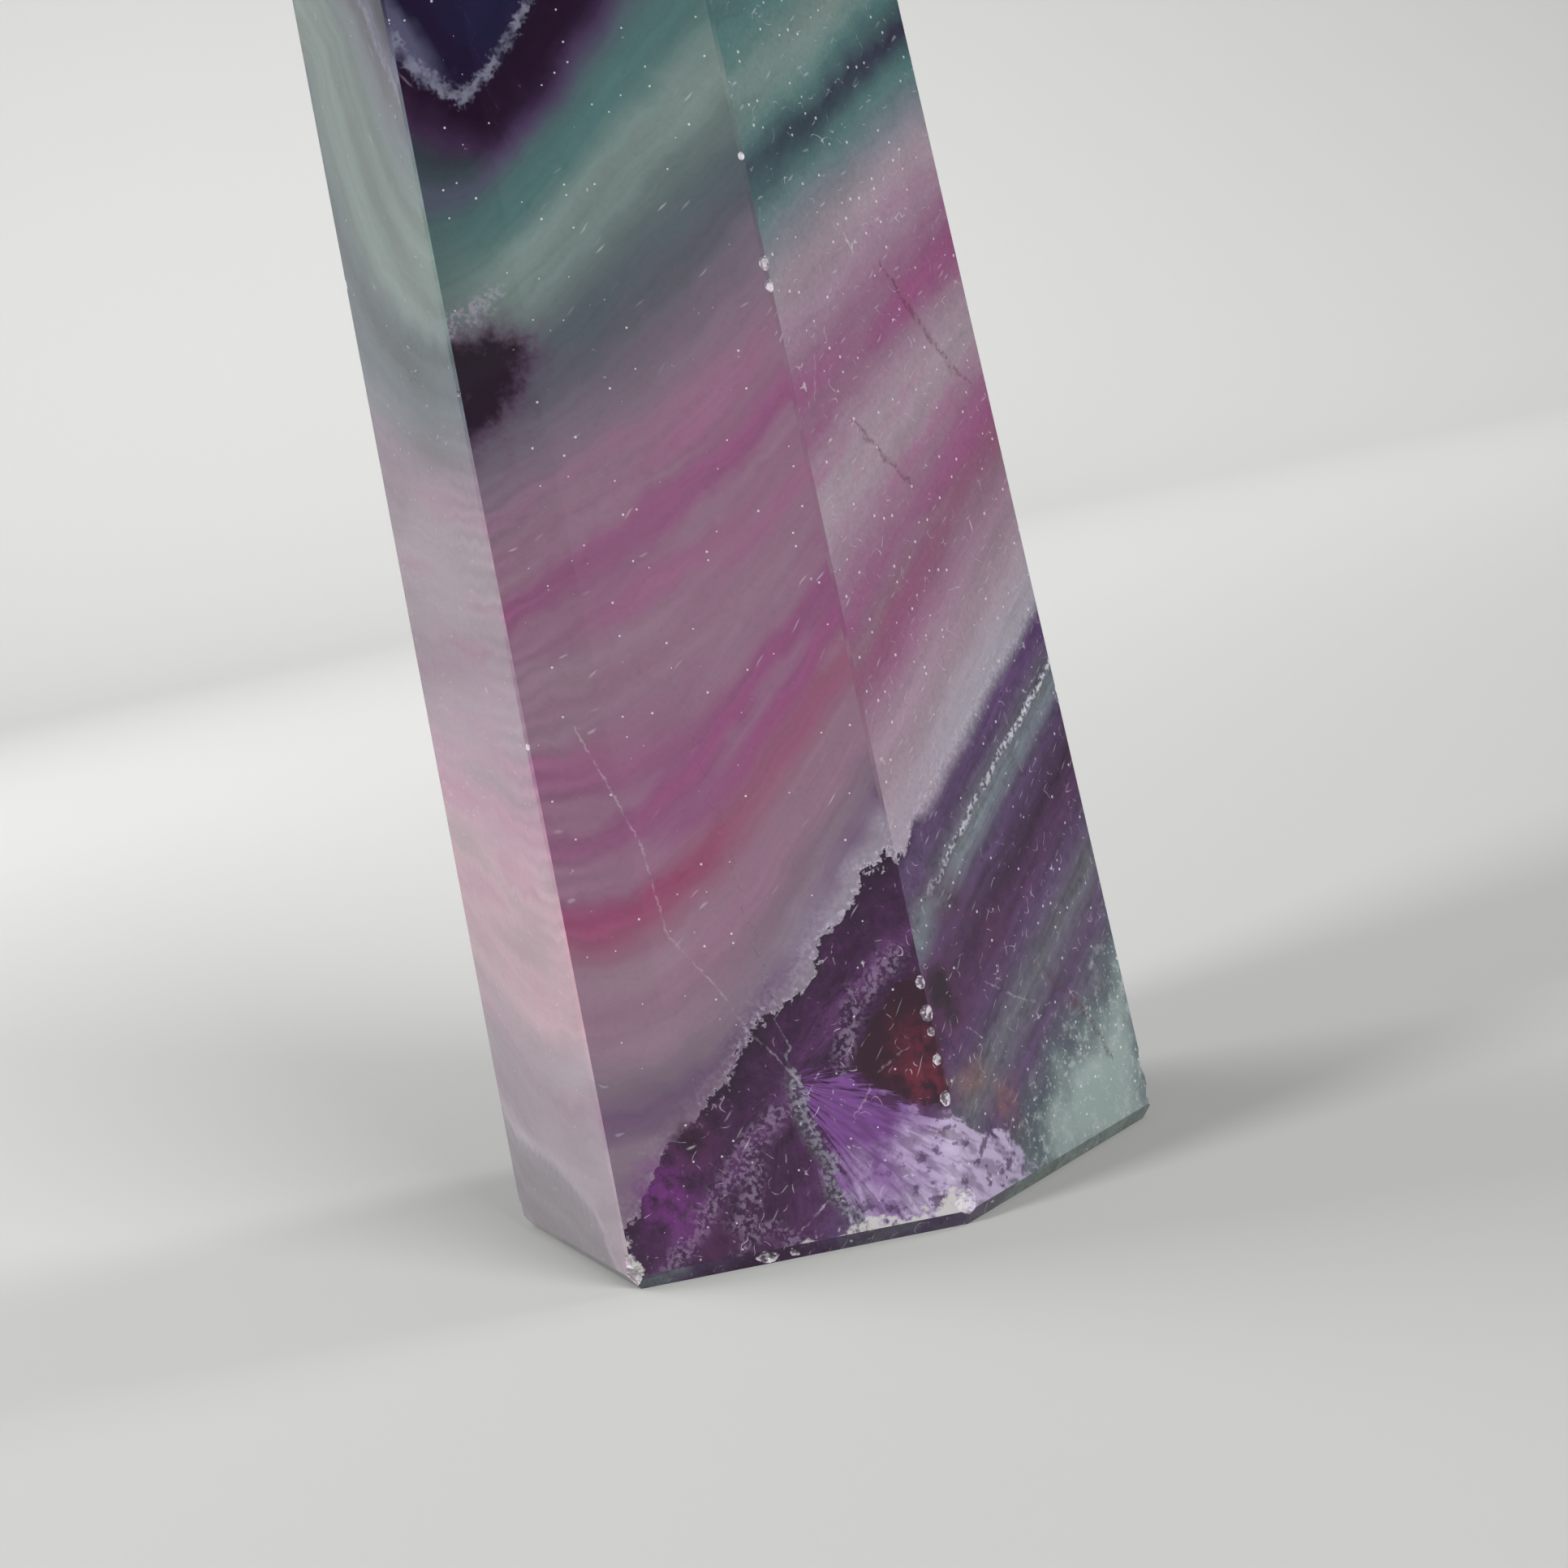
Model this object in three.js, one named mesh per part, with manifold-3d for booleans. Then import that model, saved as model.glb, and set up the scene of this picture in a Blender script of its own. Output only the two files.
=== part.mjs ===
// A polished fluorite tower: a six-sided column of banded crystal, ground from one block, that narrows
// towards a six-sided point and stands on a flat base.
// Units are millimetres. +Z is up, the base lies on z = 0 and the column's axis is the Z axis.

import * as THREE from 'three';
import Module from 'manifold-3d';
import { mergeVertices } from 'three/addons/utils/BufferGeometryUtils.js';

// ---------------------------------------------------------------- driving dimensions

const SIDES = 6;
const BASE_RADIUS = 13;             // axis to corner, measured at the base
const TAPER_PER_MM = 0.00253;       // share of the radius lost in each millimetre of height
const TOTAL_HEIGHT = 90;
const SHOULDER_HEIGHT = 75.5;       // where the column ends and the point begins
const POINT_LEAN = [0.4, -0.3];     // how far the tip stands off the axis, in X and Y
const TIP_FLAT_DROP = 0.45;         // how far the tip is blunted below the ideal point

const RIM_BEVEL_HEIGHT = 0.6;       // bevel around the base
const RIM_BEVEL_INSET = 0.42;
const EDGE_FLAT_WIDTH = 0.16;       // narrow flat left by polishing on each upright edge
const POINT_FLAT_WIDTH = 0.2;       // the same on the edges of the point

// Hand grinding leaves the corners of the base a little off a regular hexagon.
// Corners run anticlockwise from -X, so side 1 faces -Y.
const CORNER_SHIFT = [
  [0.17, 0.07],
  [-0.08, -0.55],
  [-0.42, 0.48],
  [0.28, -0.01],
  [0.25, -0.2],
  [-0.12, 0.28],
];

// Height of the shoulder above or below SHOULDER_HEIGHT, for each side.
const SHOULDER_SHIFT = [0.8, -0.7, 0.3, 1.1, -0.5, -0.2];

// ---------------------------------------------------------------- chips

// Chips on the base rim: side, distance along the side from its middle, height of the centre,
// width, height and depth of the scar.
const RIM_CHIPS = [
  { side: 1, along: -3.85, up: 0.0, width: 0.9, height: 0.75, depth: 0.3 },
  { side: 1, along: -3.1, up: 0.0, width: 1.0, height: 0.6, depth: 0.24 },
  { side: 1, along: -2.2, up: 0.05, width: 1.1, height: 0.95, depth: 0.32 },
  { side: 1, along: -1.25, up: 0.15, width: 1.5, height: 1.3, depth: 0.42 },
  { side: 1, along: -0.3, up: 0.1, width: 1.3, height: 1.0, depth: 0.36 },
  { side: 1, along: 0.6, up: 0.05, width: 1.2, height: 0.8, depth: 0.3 },
  { side: 1, along: 1.7, up: 0.0, width: 1.0, height: 0.6, depth: 0.25 },
  { side: 1, along: 3.1, up: 0.05, width: 1.9, height: 0.6, depth: 0.26 },
  { side: 0, along: 0.9, up: 0.0, width: 1.0, height: 0.7, depth: 0.26 },
  { side: 0, along: -4.3, up: 0.05, width: 1.6, height: 0.8, depth: 0.3 },
  { side: 2, along: 4.3, up: 0.0, width: 1.1, height: 0.6, depth: 0.24 },
  { side: 3, along: -2.6, up: 0.05, width: 1.7, height: 1.0, depth: 0.36 },
  { side: 3, along: 3.4, up: 0.0, width: 1.2, height: 0.7, depth: 0.28 },
  { side: 4, along: 1.1, up: 0.1, width: 2.2, height: 1.3, depth: 0.42 },
  { side: 4, along: 2.6, up: 0.0, width: 1.3, height: 0.8, depth: 0.3 },
  { side: 5, along: -1.9, up: 0.0, width: 1.4, height: 0.7, depth: 0.3 },
];

// Chips on the upright edges: corner, height, width across the edge, length along it and depth.
const EDGE_CHIPS = [
  { corner: 0, up: 38.6, width: 0.5, length: 0.6, depth: 0.16 },
  { corner: 0, up: 0.7, width: 1.7, length: 1.5, depth: 0.3 },
  { corner: 1, up: 0.35, width: 1.5, length: 1.5, depth: 0.42 },
  { corner: 1, up: 1.15, width: 0.7, length: 0.8, depth: 0.2 },
  { corner: 1, up: 20.4, width: 0.36, length: 0.42, depth: 0.1 },
  { corner: 1, up: 33.2, width: 0.36, length: 0.34, depth: 0.1 },
  { corner: 2, up: 0.95, width: 1.7, length: 1.4, depth: 0.34 },
  { corner: 2, up: 4.85, width: 0.7, length: 0.7, depth: 0.18 },
  { corner: 2, up: 6.3, width: 0.56, length: 0.5, depth: 0.16 },
  { corner: 2, up: 7.35, width: 0.5, length: 0.44, depth: 0.14 },
  { corner: 2, up: 8.05, width: 0.86, length: 0.76, depth: 0.22 },
  { corner: 2, up: 9.2, width: 0.6, length: 0.6, depth: 0.17 },
  { corner: 2, up: 34.7, width: 0.5, length: 0.6, depth: 0.14 },
  { corner: 2, up: 35.5, width: 0.62, length: 0.66, depth: 0.18 },
  { corner: 2, up: 39.3, width: 0.4, length: 0.4, depth: 0.11 },
  { corner: 3, up: 0.9, width: 1.1, length: 1.1, depth: 0.26 },
  { corner: 3, up: 2.3, width: 0.8, length: 1.3, depth: 0.2 },
  { corner: 3, up: 17.6, width: 0.4, length: 0.5, depth: 0.12 },
  { corner: 4, up: 0.5, width: 1.6, length: 1.6, depth: 0.44 },
  { corner: 4, up: 28.4, width: 0.6, length: 0.8, depth: 0.17 },
  { corner: 4, up: 52.7, width: 0.5, length: 0.6, depth: 0.15 },
  { corner: 5, up: 0.4, width: 1.2, length: 1.1, depth: 0.32 },
  { corner: 5, up: 13.9, width: 0.6, length: 0.7, depth: 0.17 },
];

const CHIP_ROUNDNESS = 1.6;         // radius of a scar along its depth, as a share of its half width
const CHIP_TURN = 0.7;              // radians each scar's facets are turned from the last
const RIM_CHIP_SLANT = -0.55;       // rim chips break away downwards: drop for one unit outwards

// ---------------------------------------------------------------- the column as flat cuts

// Corner of the column at a height: 0 to 5 anticlockwise from -X.
function corner(index, height) {
  const k = ((index % SIDES) + SIDES) % SIDES;
  const angle = Math.PI + k * 2 * Math.PI / SIDES;
  const shrink = 1 - TAPER_PER_MM * height;
  return new THREE.Vector3(
    (BASE_RADIUS * Math.cos(angle) + CORNER_SHIFT[k][0]) * shrink,
    (BASE_RADIUS * Math.sin(angle) + CORNER_SHIFT[k][1]) * shrink,
    height,
  );
}

// A flat cut keeps the points p with normal . p <= offset.
function cutThrough(a, b, c) {
  const normal = b.clone().sub(a).cross(c.clone().sub(a)).normalize();
  return { normal, offset: normal.dot(a) };
}

// The narrow flat that takes the sharpness off the edge between two cuts.
function flatBetween(first, second, width) {
  const cosine = first.normal.dot(second.normal);
  const halfAngle = Math.acos(THREE.MathUtils.clamp(cosine, -1, 1)) / 2;
  const depth = width / 2 * Math.tan(halfAngle);
  const normal = first.normal.clone().add(second.normal).normalize();
  const ridge = (first.offset + second.offset) / (2 * Math.cos(halfAngle));
  return { normal, offset: ridge - depth };
}

function columnCuts() {
  const tip = new THREE.Vector3(POINT_LEAN[0], POINT_LEAN[1], TOTAL_HEIGHT + TIP_FLAT_DROP);
  const sides = [];
  const points = [];
  const rims = [];
  for (let k = 0; k < SIDES; k += 1) {
    const shoulder = SHOULDER_HEIGHT + SHOULDER_SHIFT[k];
    sides.push(cutThrough(corner(k, 0), corner(k + 1, 0), corner(k + 1, SHOULDER_HEIGHT)));
    points.push(cutThrough(corner(k, shoulder), corner(k + 1, shoulder), tip));
    const inward = sides[k].normal.clone().setZ(0).normalize().multiplyScalar(-RIM_BEVEL_INSET);
    rims.push(cutThrough(
      corner(k, 0).add(inward),
      corner(k + 1, 0).add(inward),
      corner(k + 1, RIM_BEVEL_HEIGHT),
    ));
  }
  const edgeFlats = [];
  const ridgeFlats = [];
  const shoulderFlats = [];
  for (let k = 0; k < SIDES; k += 1) {
    const next = (k + 1) % SIDES;
    edgeFlats.push(flatBetween(sides[k], sides[next], EDGE_FLAT_WIDTH));
    ridgeFlats.push(flatBetween(points[k], points[next], POINT_FLAT_WIDTH));
    shoulderFlats.push(flatBetween(sides[k], points[k], POINT_FLAT_WIDTH));
  }
  const base = { normal: new THREE.Vector3(0, 0, -1), offset: 0 };
  const tipFlat = { normal: new THREE.Vector3(0, 0, 1), offset: TOTAL_HEIGHT };
  return [base, tipFlat, ...sides, ...points, ...rims, ...edgeFlats, ...ridgeFlats, ...shoulderFlats];
}

// ---------------------------------------------------------------- from flat cuts to a solid

const KEPT_TOLERANCE = 1e-6;
const ON_FACE_TOLERANCE = 1e-5;
const NEARLY_PARALLEL = 1e-9;

function meetingPoint(p, q, r) {
  const qr = q.normal.clone().cross(r.normal);
  const determinant = p.normal.dot(qr);
  if (Math.abs(determinant) < NEARLY_PARALLEL) return null;
  const rp = r.normal.clone().cross(p.normal);
  const pq = p.normal.clone().cross(q.normal);
  return qr.multiplyScalar(p.offset)
    .add(rp.multiplyScalar(q.offset))
    .add(pq.multiplyScalar(r.offset))
    .divideScalar(determinant);
}

// Every point where three cuts meet and no other cut takes it away.
function solidCorners(cuts) {
  const found = [];
  for (let i = 0; i < cuts.length; i += 1) {
    for (let j = i + 1; j < cuts.length; j += 1) {
      for (let k = j + 1; k < cuts.length; k += 1) {
        const point = meetingPoint(cuts[i], cuts[j], cuts[k]);
        if (!point) continue;
        const inside = cuts.every((cut) => cut.normal.dot(point) <= cut.offset + KEPT_TOLERANCE);
        if (!inside) continue;
        if (found.every((other) => other.distanceTo(point) > ON_FACE_TOLERANCE)) found.push(point);
      }
    }
  }
  return found;
}

// The convex solid that a set of flat cuts leaves, one fan of triangles to each flat face.
function solidFromCuts(cuts) {
  const corners = solidCorners(cuts);
  const triangles = [];
  for (const cut of cuts) {
    const face = [];
    corners.forEach((point, index) => {
      if (Math.abs(cut.normal.dot(point) - cut.offset) < ON_FACE_TOLERANCE) face.push(index);
    });
    if (face.length < 3) continue;
    const centre = new THREE.Vector3();
    face.forEach((index) => centre.add(corners[index]));
    centre.divideScalar(face.length);
    const across = corners[face[0]].clone().sub(centre).normalize();
    const along = cut.normal.clone().cross(across);
    const turn = (index) => {
      const arm = corners[index].clone().sub(centre);
      return Math.atan2(arm.dot(along), arm.dot(across));
    };
    face.sort((a, b) => turn(a) - turn(b));
    for (let i = 1; i < face.length - 1; i += 1) triangles.push(face[0], face[i], face[i + 1]);
  }
  const geometry = new THREE.BufferGeometry();
  const positions = corners.flatMap((point) => point.toArray());
  geometry.setAttribute('position', new THREE.Float32BufferAttribute(positions, 3));
  geometry.setIndex(triangles);
  return geometry;
}

// ---------------------------------------------------------------- chips as rounded cuts

const UP = new THREE.Vector3(0, 0, 1);

// A rounded tool that sinks into the surface at a point and leaves a shell-shaped scar.
function scarTool(point, outward, size, turn) {
  const geometry = new THREE.IcosahedronGeometry(1, 1);
  const reach = size.width / 2 * CHIP_ROUNDNESS;
  const sunk = (reach - size.depth) / reach;
  const spread = 1 / Math.sqrt(1 - sunk * sunk);
  geometry.rotateZ(turn);
  geometry.rotateX(turn * 2);
  geometry.scale(size.width / 2 * spread, size.height / 2 * spread, reach);
  const across = UP.clone().cross(outward).normalize();
  const upward = outward.clone().cross(across);
  const centre = point.clone().addScaledVector(outward, reach - size.depth);
  geometry.applyMatrix4(new THREE.Matrix4().makeBasis(across, upward, outward));
  geometry.translate(centre.x, centre.y, centre.z);
  return geometry;
}

function rimScar(chip, turn) {
  const left = corner(chip.side, chip.up);
  const right = corner(chip.side + 1, chip.up);
  const middle = left.clone().add(right).divideScalar(2);
  const along = right.clone().sub(left).normalize();
  const point = middle.addScaledVector(along, chip.along);
  const outward = along.cross(UP).setZ(RIM_CHIP_SLANT).normalize();
  return scarTool(point, outward, chip, turn);
}

function edgeScar(chip, turn) {
  const point = corner(chip.corner, chip.up);
  const outward = point.clone().setZ(0).normalize();
  const size = { width: chip.width, height: chip.length, depth: chip.depth };
  return scarTool(point, outward, size, turn);
}

// ---------------------------------------------------------------- joining and cutting

const wasm = await Module();
wasm.setup();

function toSolid(geometry) {
  geometry.deleteAttribute('normal');
  geometry.deleteAttribute('uv');
  const merged = mergeVertices(geometry, ON_FACE_TOLERANCE);
  return new wasm.Manifold(new wasm.Mesh({
    numProp: 3,
    vertProperties: new Float32Array(merged.attributes.position.array),
    triVerts: new Uint32Array(merged.index.array),
  }));
}

function toGeometry(solid) {
  const mesh = solid.getMesh();
  const geometry = new THREE.BufferGeometry();
  geometry.setAttribute('position', new THREE.BufferAttribute(mesh.vertProperties, 3));
  geometry.setIndex(new THREE.BufferAttribute(mesh.triVerts, 1));
  geometry.computeVertexNormals();
  return geometry;
}

function towerSolid() {
  let solid = toSolid(solidFromCuts(columnCuts()));
  const scars = [
    ...RIM_CHIPS.map((chip, index) => rimScar(chip, index * CHIP_TURN)),
    ...EDGE_CHIPS.map((chip, index) => edgeScar(chip, index * CHIP_TURN)),
  ];
  for (const scar of scars) solid = solid.subtract(toSolid(scar));
  return solid;
}

// ---------------------------------------------------------------- the tower

const fluorite = new THREE.MeshStandardMaterial({ color: 0x7d5f7c, roughness: 0.1, metalness: 0 });

const tower = new THREE.Mesh(toGeometry(towerSolid()), fluorite);
tower.name = 'fluorite_tower';

const part = new THREE.Group();
part.add(tower);

export default part;
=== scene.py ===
"""Looks of the fluorite tower: a polished, banded, partly clear crystal on a plain pale floor.

The tower is a finer copy of the CAD solid. Its flat faces get an even mesh and its chips get small cleavage
steps. Every face corner stores the colours of the growth zone and root there and how far the marks are.
The material turns those into colour, clearness and frosting.
"""
import functools
import math

import bmesh
import bpy
import numpy as np
from mathutils import Matrix, Vector, noise
from mathutils.geometry import delaunay_2d_cdt
from mathutils.kdtree import KDTree


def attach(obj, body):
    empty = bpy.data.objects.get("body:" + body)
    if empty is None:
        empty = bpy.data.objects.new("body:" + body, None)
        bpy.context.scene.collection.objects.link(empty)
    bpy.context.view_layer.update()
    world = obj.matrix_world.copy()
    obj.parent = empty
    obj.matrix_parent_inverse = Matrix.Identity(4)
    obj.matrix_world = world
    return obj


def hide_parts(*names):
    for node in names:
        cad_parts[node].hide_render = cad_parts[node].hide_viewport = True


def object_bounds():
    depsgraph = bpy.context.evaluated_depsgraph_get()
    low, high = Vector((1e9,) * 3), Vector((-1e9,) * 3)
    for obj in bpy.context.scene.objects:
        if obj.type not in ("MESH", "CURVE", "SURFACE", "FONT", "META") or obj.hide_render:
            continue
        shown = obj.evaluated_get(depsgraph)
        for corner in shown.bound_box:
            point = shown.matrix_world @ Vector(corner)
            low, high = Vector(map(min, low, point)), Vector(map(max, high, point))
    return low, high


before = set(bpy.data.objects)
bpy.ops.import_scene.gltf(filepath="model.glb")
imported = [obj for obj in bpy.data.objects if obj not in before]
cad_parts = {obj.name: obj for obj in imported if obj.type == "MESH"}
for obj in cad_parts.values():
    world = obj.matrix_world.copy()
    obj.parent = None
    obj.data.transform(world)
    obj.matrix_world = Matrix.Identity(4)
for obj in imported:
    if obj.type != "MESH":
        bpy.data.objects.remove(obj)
cad_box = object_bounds()

MM = 0.001
NODE = "fluorite_tower"


def added(name, data):
    """A new object in the scene."""
    made = bpy.data.objects.new(name, data)
    bpy.context.scene.collection.objects.link(made)
    return made


# ---------------- the column, in millimetres

SIDES = 6
BASE_RADIUS = 13.0
TAPER_PER_MM = 0.00253
SHOULDER_HEIGHT = 75.5
# x and y of each base corner off a regular hexagon
CORNER_SHIFT = ((0.17, 0.07), (-0.08, -0.55), (-0.42, 0.48), (0.28, -0.01), (0.25, -0.2), (-0.12, 0.28))
LEFT, FRONT, RIGHT = 0, 1, 2  # sides by number, anticlockwise from -X
NO_SIDE = -1                # the foot, the bevels and the point
UPRIGHT = 0.5               # a side's normal has less than this of Z in it
FACING_DOWN = 0.9           # the foot's has more than this, downwards

# ---------------- mesh fineness, in millimetres

PLAIN_STEP = 0.55
MARKED_STEP = 0.36          # on the left, front and right sides
ROOT_STEP = 0.2             # lower down on those, where the markings are small
ROOT_HEIGHT = 13.0
EDGE_STEP = 0.2
SCAR_STEP = 0.09
RIM_CLEARANCE = 0.55        # inner points keep this share of a step off a face's rim
SMALLEST_FLAT = 1.2         # mm2: a plane with less than this belongs to a chip
SMALLEST_TRIANGLE = 0.002   # mm2: the direction of one with less isn't trusted
SAME_PLANE_GAP = 0.004
SAME_DIRECTION = 0.99       # cosine of the angle between two normals
SAME_SIDE = 0.9999          # the same, between a face's normal and a side's
DELAUNAY_GAP = 1e-5         # points of a face nearer than this are one
WELD_GAP = 0.002            # and so are corners of the CAD mesh
UNSEEN, IN_CHIP = -2, -1    # in place of the number of a flat face
SCAR_STEPS = 3              # cleavage steps in a chip
SCAR_DEPTH = 0.06
STEPS_PER_MM = 3.1          # scale of the noise that places the steps
CRUMBS_PER_MM = 6.0         # and of the one that roughens them


def corner(index, height):
    """Corner of the column at a height, as the CAD model has it."""
    k = index % SIDES
    angle = math.pi + k * 2 * math.pi / SIDES
    shrink = 1 - TAPER_PER_MM * height
    return np.array((
        (BASE_RADIUS * math.cos(angle) + CORNER_SHIFT[k][0]) * shrink,
        (BASE_RADIUS * math.sin(angle) + CORNER_SHIFT[k][1]) * shrink,
        height,
    ))


def side_normal(k):
    """Outward normal of a side."""
    along = corner(k + 1, 0) - corner(k, 0)
    up = corner(k, SHOULDER_HEIGHT) - corner(k, 0)
    normal = np.cross(along, up)
    return normal / np.linalg.norm(normal)


# ---------------- a finer mesh of the CAD solid

def welded_triangles(mesh):
    """Corners and triangles of the CAD mesh with shared corners merged, in millimetres."""
    bm = bmesh.new()
    bm.from_mesh(mesh)
    bmesh.ops.remove_doubles(bm, verts=bm.verts, dist=WELD_GAP * MM)
    bmesh.ops.triangulate(bm, faces=bm.faces)
    points = np.array([v.co for v in bm.verts]) / MM
    bm.verts.index_update()
    triangles = np.array([[v.index for v in f.verts] for f in bm.faces])
    bm.free()
    return points, triangles


def triangle_planes(points, triangles):
    """Unit normals and areas of triangles."""
    a, b, c = (points[triangles[:, i]] for i in range(3))
    cross = np.cross(b - a, c - a)
    size = np.linalg.norm(cross, axis=1)
    return cross / np.maximum(size, 1e-12)[:, None], size / 2


def flat_groups(points, triangles):
    """Numbers each triangle by the flat face it lies on, or IN_CHIP."""
    normals, areas = triangle_planes(points, triangles)
    group = np.full(len(triangles), UNSEEN)
    planes = []
    for seed in np.argsort(-areas):
        if group[seed] != UNSEEN:
            continue
        normal = normals[seed]
        height = points[triangles[seed]] @ normal
        gap = np.abs(points[triangles] @ normal - height.mean()).max(axis=1)
        alike = (normals @ normal > SAME_DIRECTION) | (areas < SMALLEST_TRIANGLE)
        members = (group == UNSEEN) & (gap < SAME_PLANE_GAP) & alike
        members[seed] = True
        if areas[members].sum() >= SMALLEST_FLAT:
            group[members] = len(planes)
            planes.append(normal)
        else:
            group[seed] = IN_CHIP
    return group, np.array(planes)


def outlines(triangles):
    """Closed loops round a set of triangles, anticlockwise seen from outside; holes run the other way."""
    edges = {(int(t[i]), int(t[(i + 1) % 3])) for t in triangles for i in range(3)}
    onward = {}
    for a, b in sorted(edges):
        if (b, a) not in edges:
            onward.setdefault(a, []).append(b)
    loops = []
    while onward:
        start = next(iter(onward))
        loop = [start]
        here = step_along(onward, start)
        while here != start:
            loop.append(here)
            here = step_along(onward, here)
        loops.append(loop)
    return loops


def step_along(onward, here):
    """Follows one boundary edge and uses it up."""
    following = onward[here].pop()
    if not onward[here]:
        del onward[here]
    return following


def loop_area(loop):
    """Area of a flat loop, positive when anticlockwise."""
    return sum(p.x * q.y - q.x * p.y for p, q in zip(loop, loop[1:] + loop[:1])) / 2


def inside_loop(x, y, loop):
    """Whether a point lies in a flat loop."""
    crossed = False
    for p, q in zip(loop, loop[1:] + loop[:1]):
        if (p.y > y) != (q.y > y) and x < p.x + (y - p.y) * (q.x - p.x) / (q.y - p.y):
            crossed = not crossed
    return crossed


def rings_and_holes(flat, lengths):
    """Point numbers of the outer loops, then the loops that are holes and the edges round them."""
    rings, holes, hole_edges = [], [], []
    first = 0
    for length in lengths:
        numbers = list(range(first, first + length))
        first += length
        if loop_area([flat[i] for i in numbers]) > 0:
            rings.append(numbers)
        else:
            holes.append([flat[i] for i in numbers])
            hole_edges += list(zip(numbers, numbers[1:] + numbers[:1]))
    return rings, holes, hole_edges


class FineMesh:
    """Collects the corners and triangles of the finer mesh. Neighbouring faces share their edge points."""

    def __init__(self, points):
        self.points = [tuple(p) for p in points]
        self.split = {}
        self.triangles = []
        self.normals = []
        self.scar = []

    def edge_points(self, a, b, step):
        """Points between corners a and b, in that order."""
        key = (min(a, b), max(a, b))
        if key not in self.split:
            low, high = (np.array(self.points[i]) for i in key)
            count = max(1, math.ceil(np.linalg.norm(high - low) / step))
            first = len(self.points)
            for i in range(1, count):
                self.points.append(tuple(low + (high - low) * i / count))
            self.split[key] = list(range(first, len(self.points)))
        made = self.split[key]
        return made if a < b else made[::-1]

    def fill(self, loops, normal, step_at, scar):
        """Fills flat outlines, less their holes, with triangles whose size follows step_at(height)."""
        normal = Vector(normal)
        across = normal.orthogonal().normalized()
        along = normal.cross(across)
        origin = Vector(self.points[loops[0][0]])
        rim = [i for loop in loops for i in loop]
        flat = [Vector(((Vector(self.points[i]) - origin).dot(across),
                        (Vector(self.points[i]) - origin).dot(along))) for i in rim]
        rings, holes, hole_edges = rings_and_holes(flat, [len(loop) for loop in loops])
        inside = self.grid_points(flat, origin, across, along, step_at)
        made = delaunay_2d_cdt(flat + inside, hole_edges, rings, 1, DELAUNAY_GAP)
        corners, triangles, sources = made[0], made[2], made[3]
        index = {}
        for t in triangles:
            middle = sum((corners[i] for i in t), Vector((0, 0))) / 3
            if any(inside_loop(middle.x, middle.y, hole) for hole in holes):
                continue
            for i in t:
                if i not in index:
                    on_rim = sources[i] and sources[i][0] < len(rim)
                    place = origin + across * corners[i].x + along * corners[i].y
                    index[i] = rim[sources[i][0]] if on_rim else self.add_point(place)
            self.triangles.append([index[i] for i in t])
            self.normals.append(tuple(normal))
            self.scar.append(scar)

    def add_point(self, place):
        """Adds a point and gives its number."""
        self.points.append(tuple(place))
        return len(self.points) - 1

    @staticmethod
    def grid_points(flat, origin, across, along, step_at):
        """Rows of points inside an outline's box, kept clear of its rim."""
        low = [min(p[i] for p in flat) for i in range(2)]
        high = [max(p[i] for p in flat) for i in range(2)]
        tree = KDTree(len(flat))
        for i, p in enumerate(flat):
            tree.insert((p.x, p.y, 0), i)
        tree.balance()
        kept = []
        y = low[1]
        row = 0
        while y < high[1]:
            step = step_at(origin.z + across.z * (low[0] + high[0]) / 2 + along.z * y)
            y += step
            row += 1
            x = low[0] + 0.5 * step * (row % 2)
            while x < high[0]:
                if tree.find((x, y, 0))[2] > RIM_CLEARANCE * step:
                    kept.append(Vector((x, y)))
                x += step
        return kept


def marked_step(height):
    """Mesh size on the left, front and right sides."""
    return ROOT_STEP if height < ROOT_HEIGHT else MARKED_STEP


def even_step(step):
    """A mesh size that is the same at every height."""
    return lambda height: step


def number_of_side(normal):
    """Which of the six sides a normal belongs to, or NO_SIDE."""
    for k in range(SIDES):
        if np.dot(normal, side_normal(k)) > SAME_SIDE:
            return k
    return NO_SIDE


def refined(points, triangles):
    """The finer mesh: flat faces evenly divided, chips divided more closely."""
    group, planes = flat_groups(points, triangles)
    normals, _ = triangle_planes(points, triangles)
    scar_corners = set(triangles[group == IN_CHIP].ravel().tolist())
    fine = FineMesh(points)

    def with_edge_points(loop):
        full = []
        for a, b in zip(loop, loop[1:] + loop[:1]):
            beside_scar = a in scar_corners and b in scar_corners
            full.append(a)
            full.extend(fine.edge_points(a, b, SCAR_STEP if beside_scar else EDGE_STEP))
        return full

    for number, normal in enumerate(planes):
        loops = [with_edge_points(loop) for loop in outlines(triangles[group == number])]
        marked = number_of_side(normal) in (LEFT, FRONT, RIGHT)
        fine.fill(loops, normal, marked_step if marked else even_step(PLAIN_STEP), 0)
    for t in np.nonzero(group == IN_CHIP)[0]:
        fine.fill([with_edge_points([int(i) for i in triangles[t]])], normals[t], even_step(SCAR_STEP), 1)
    return fine


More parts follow.
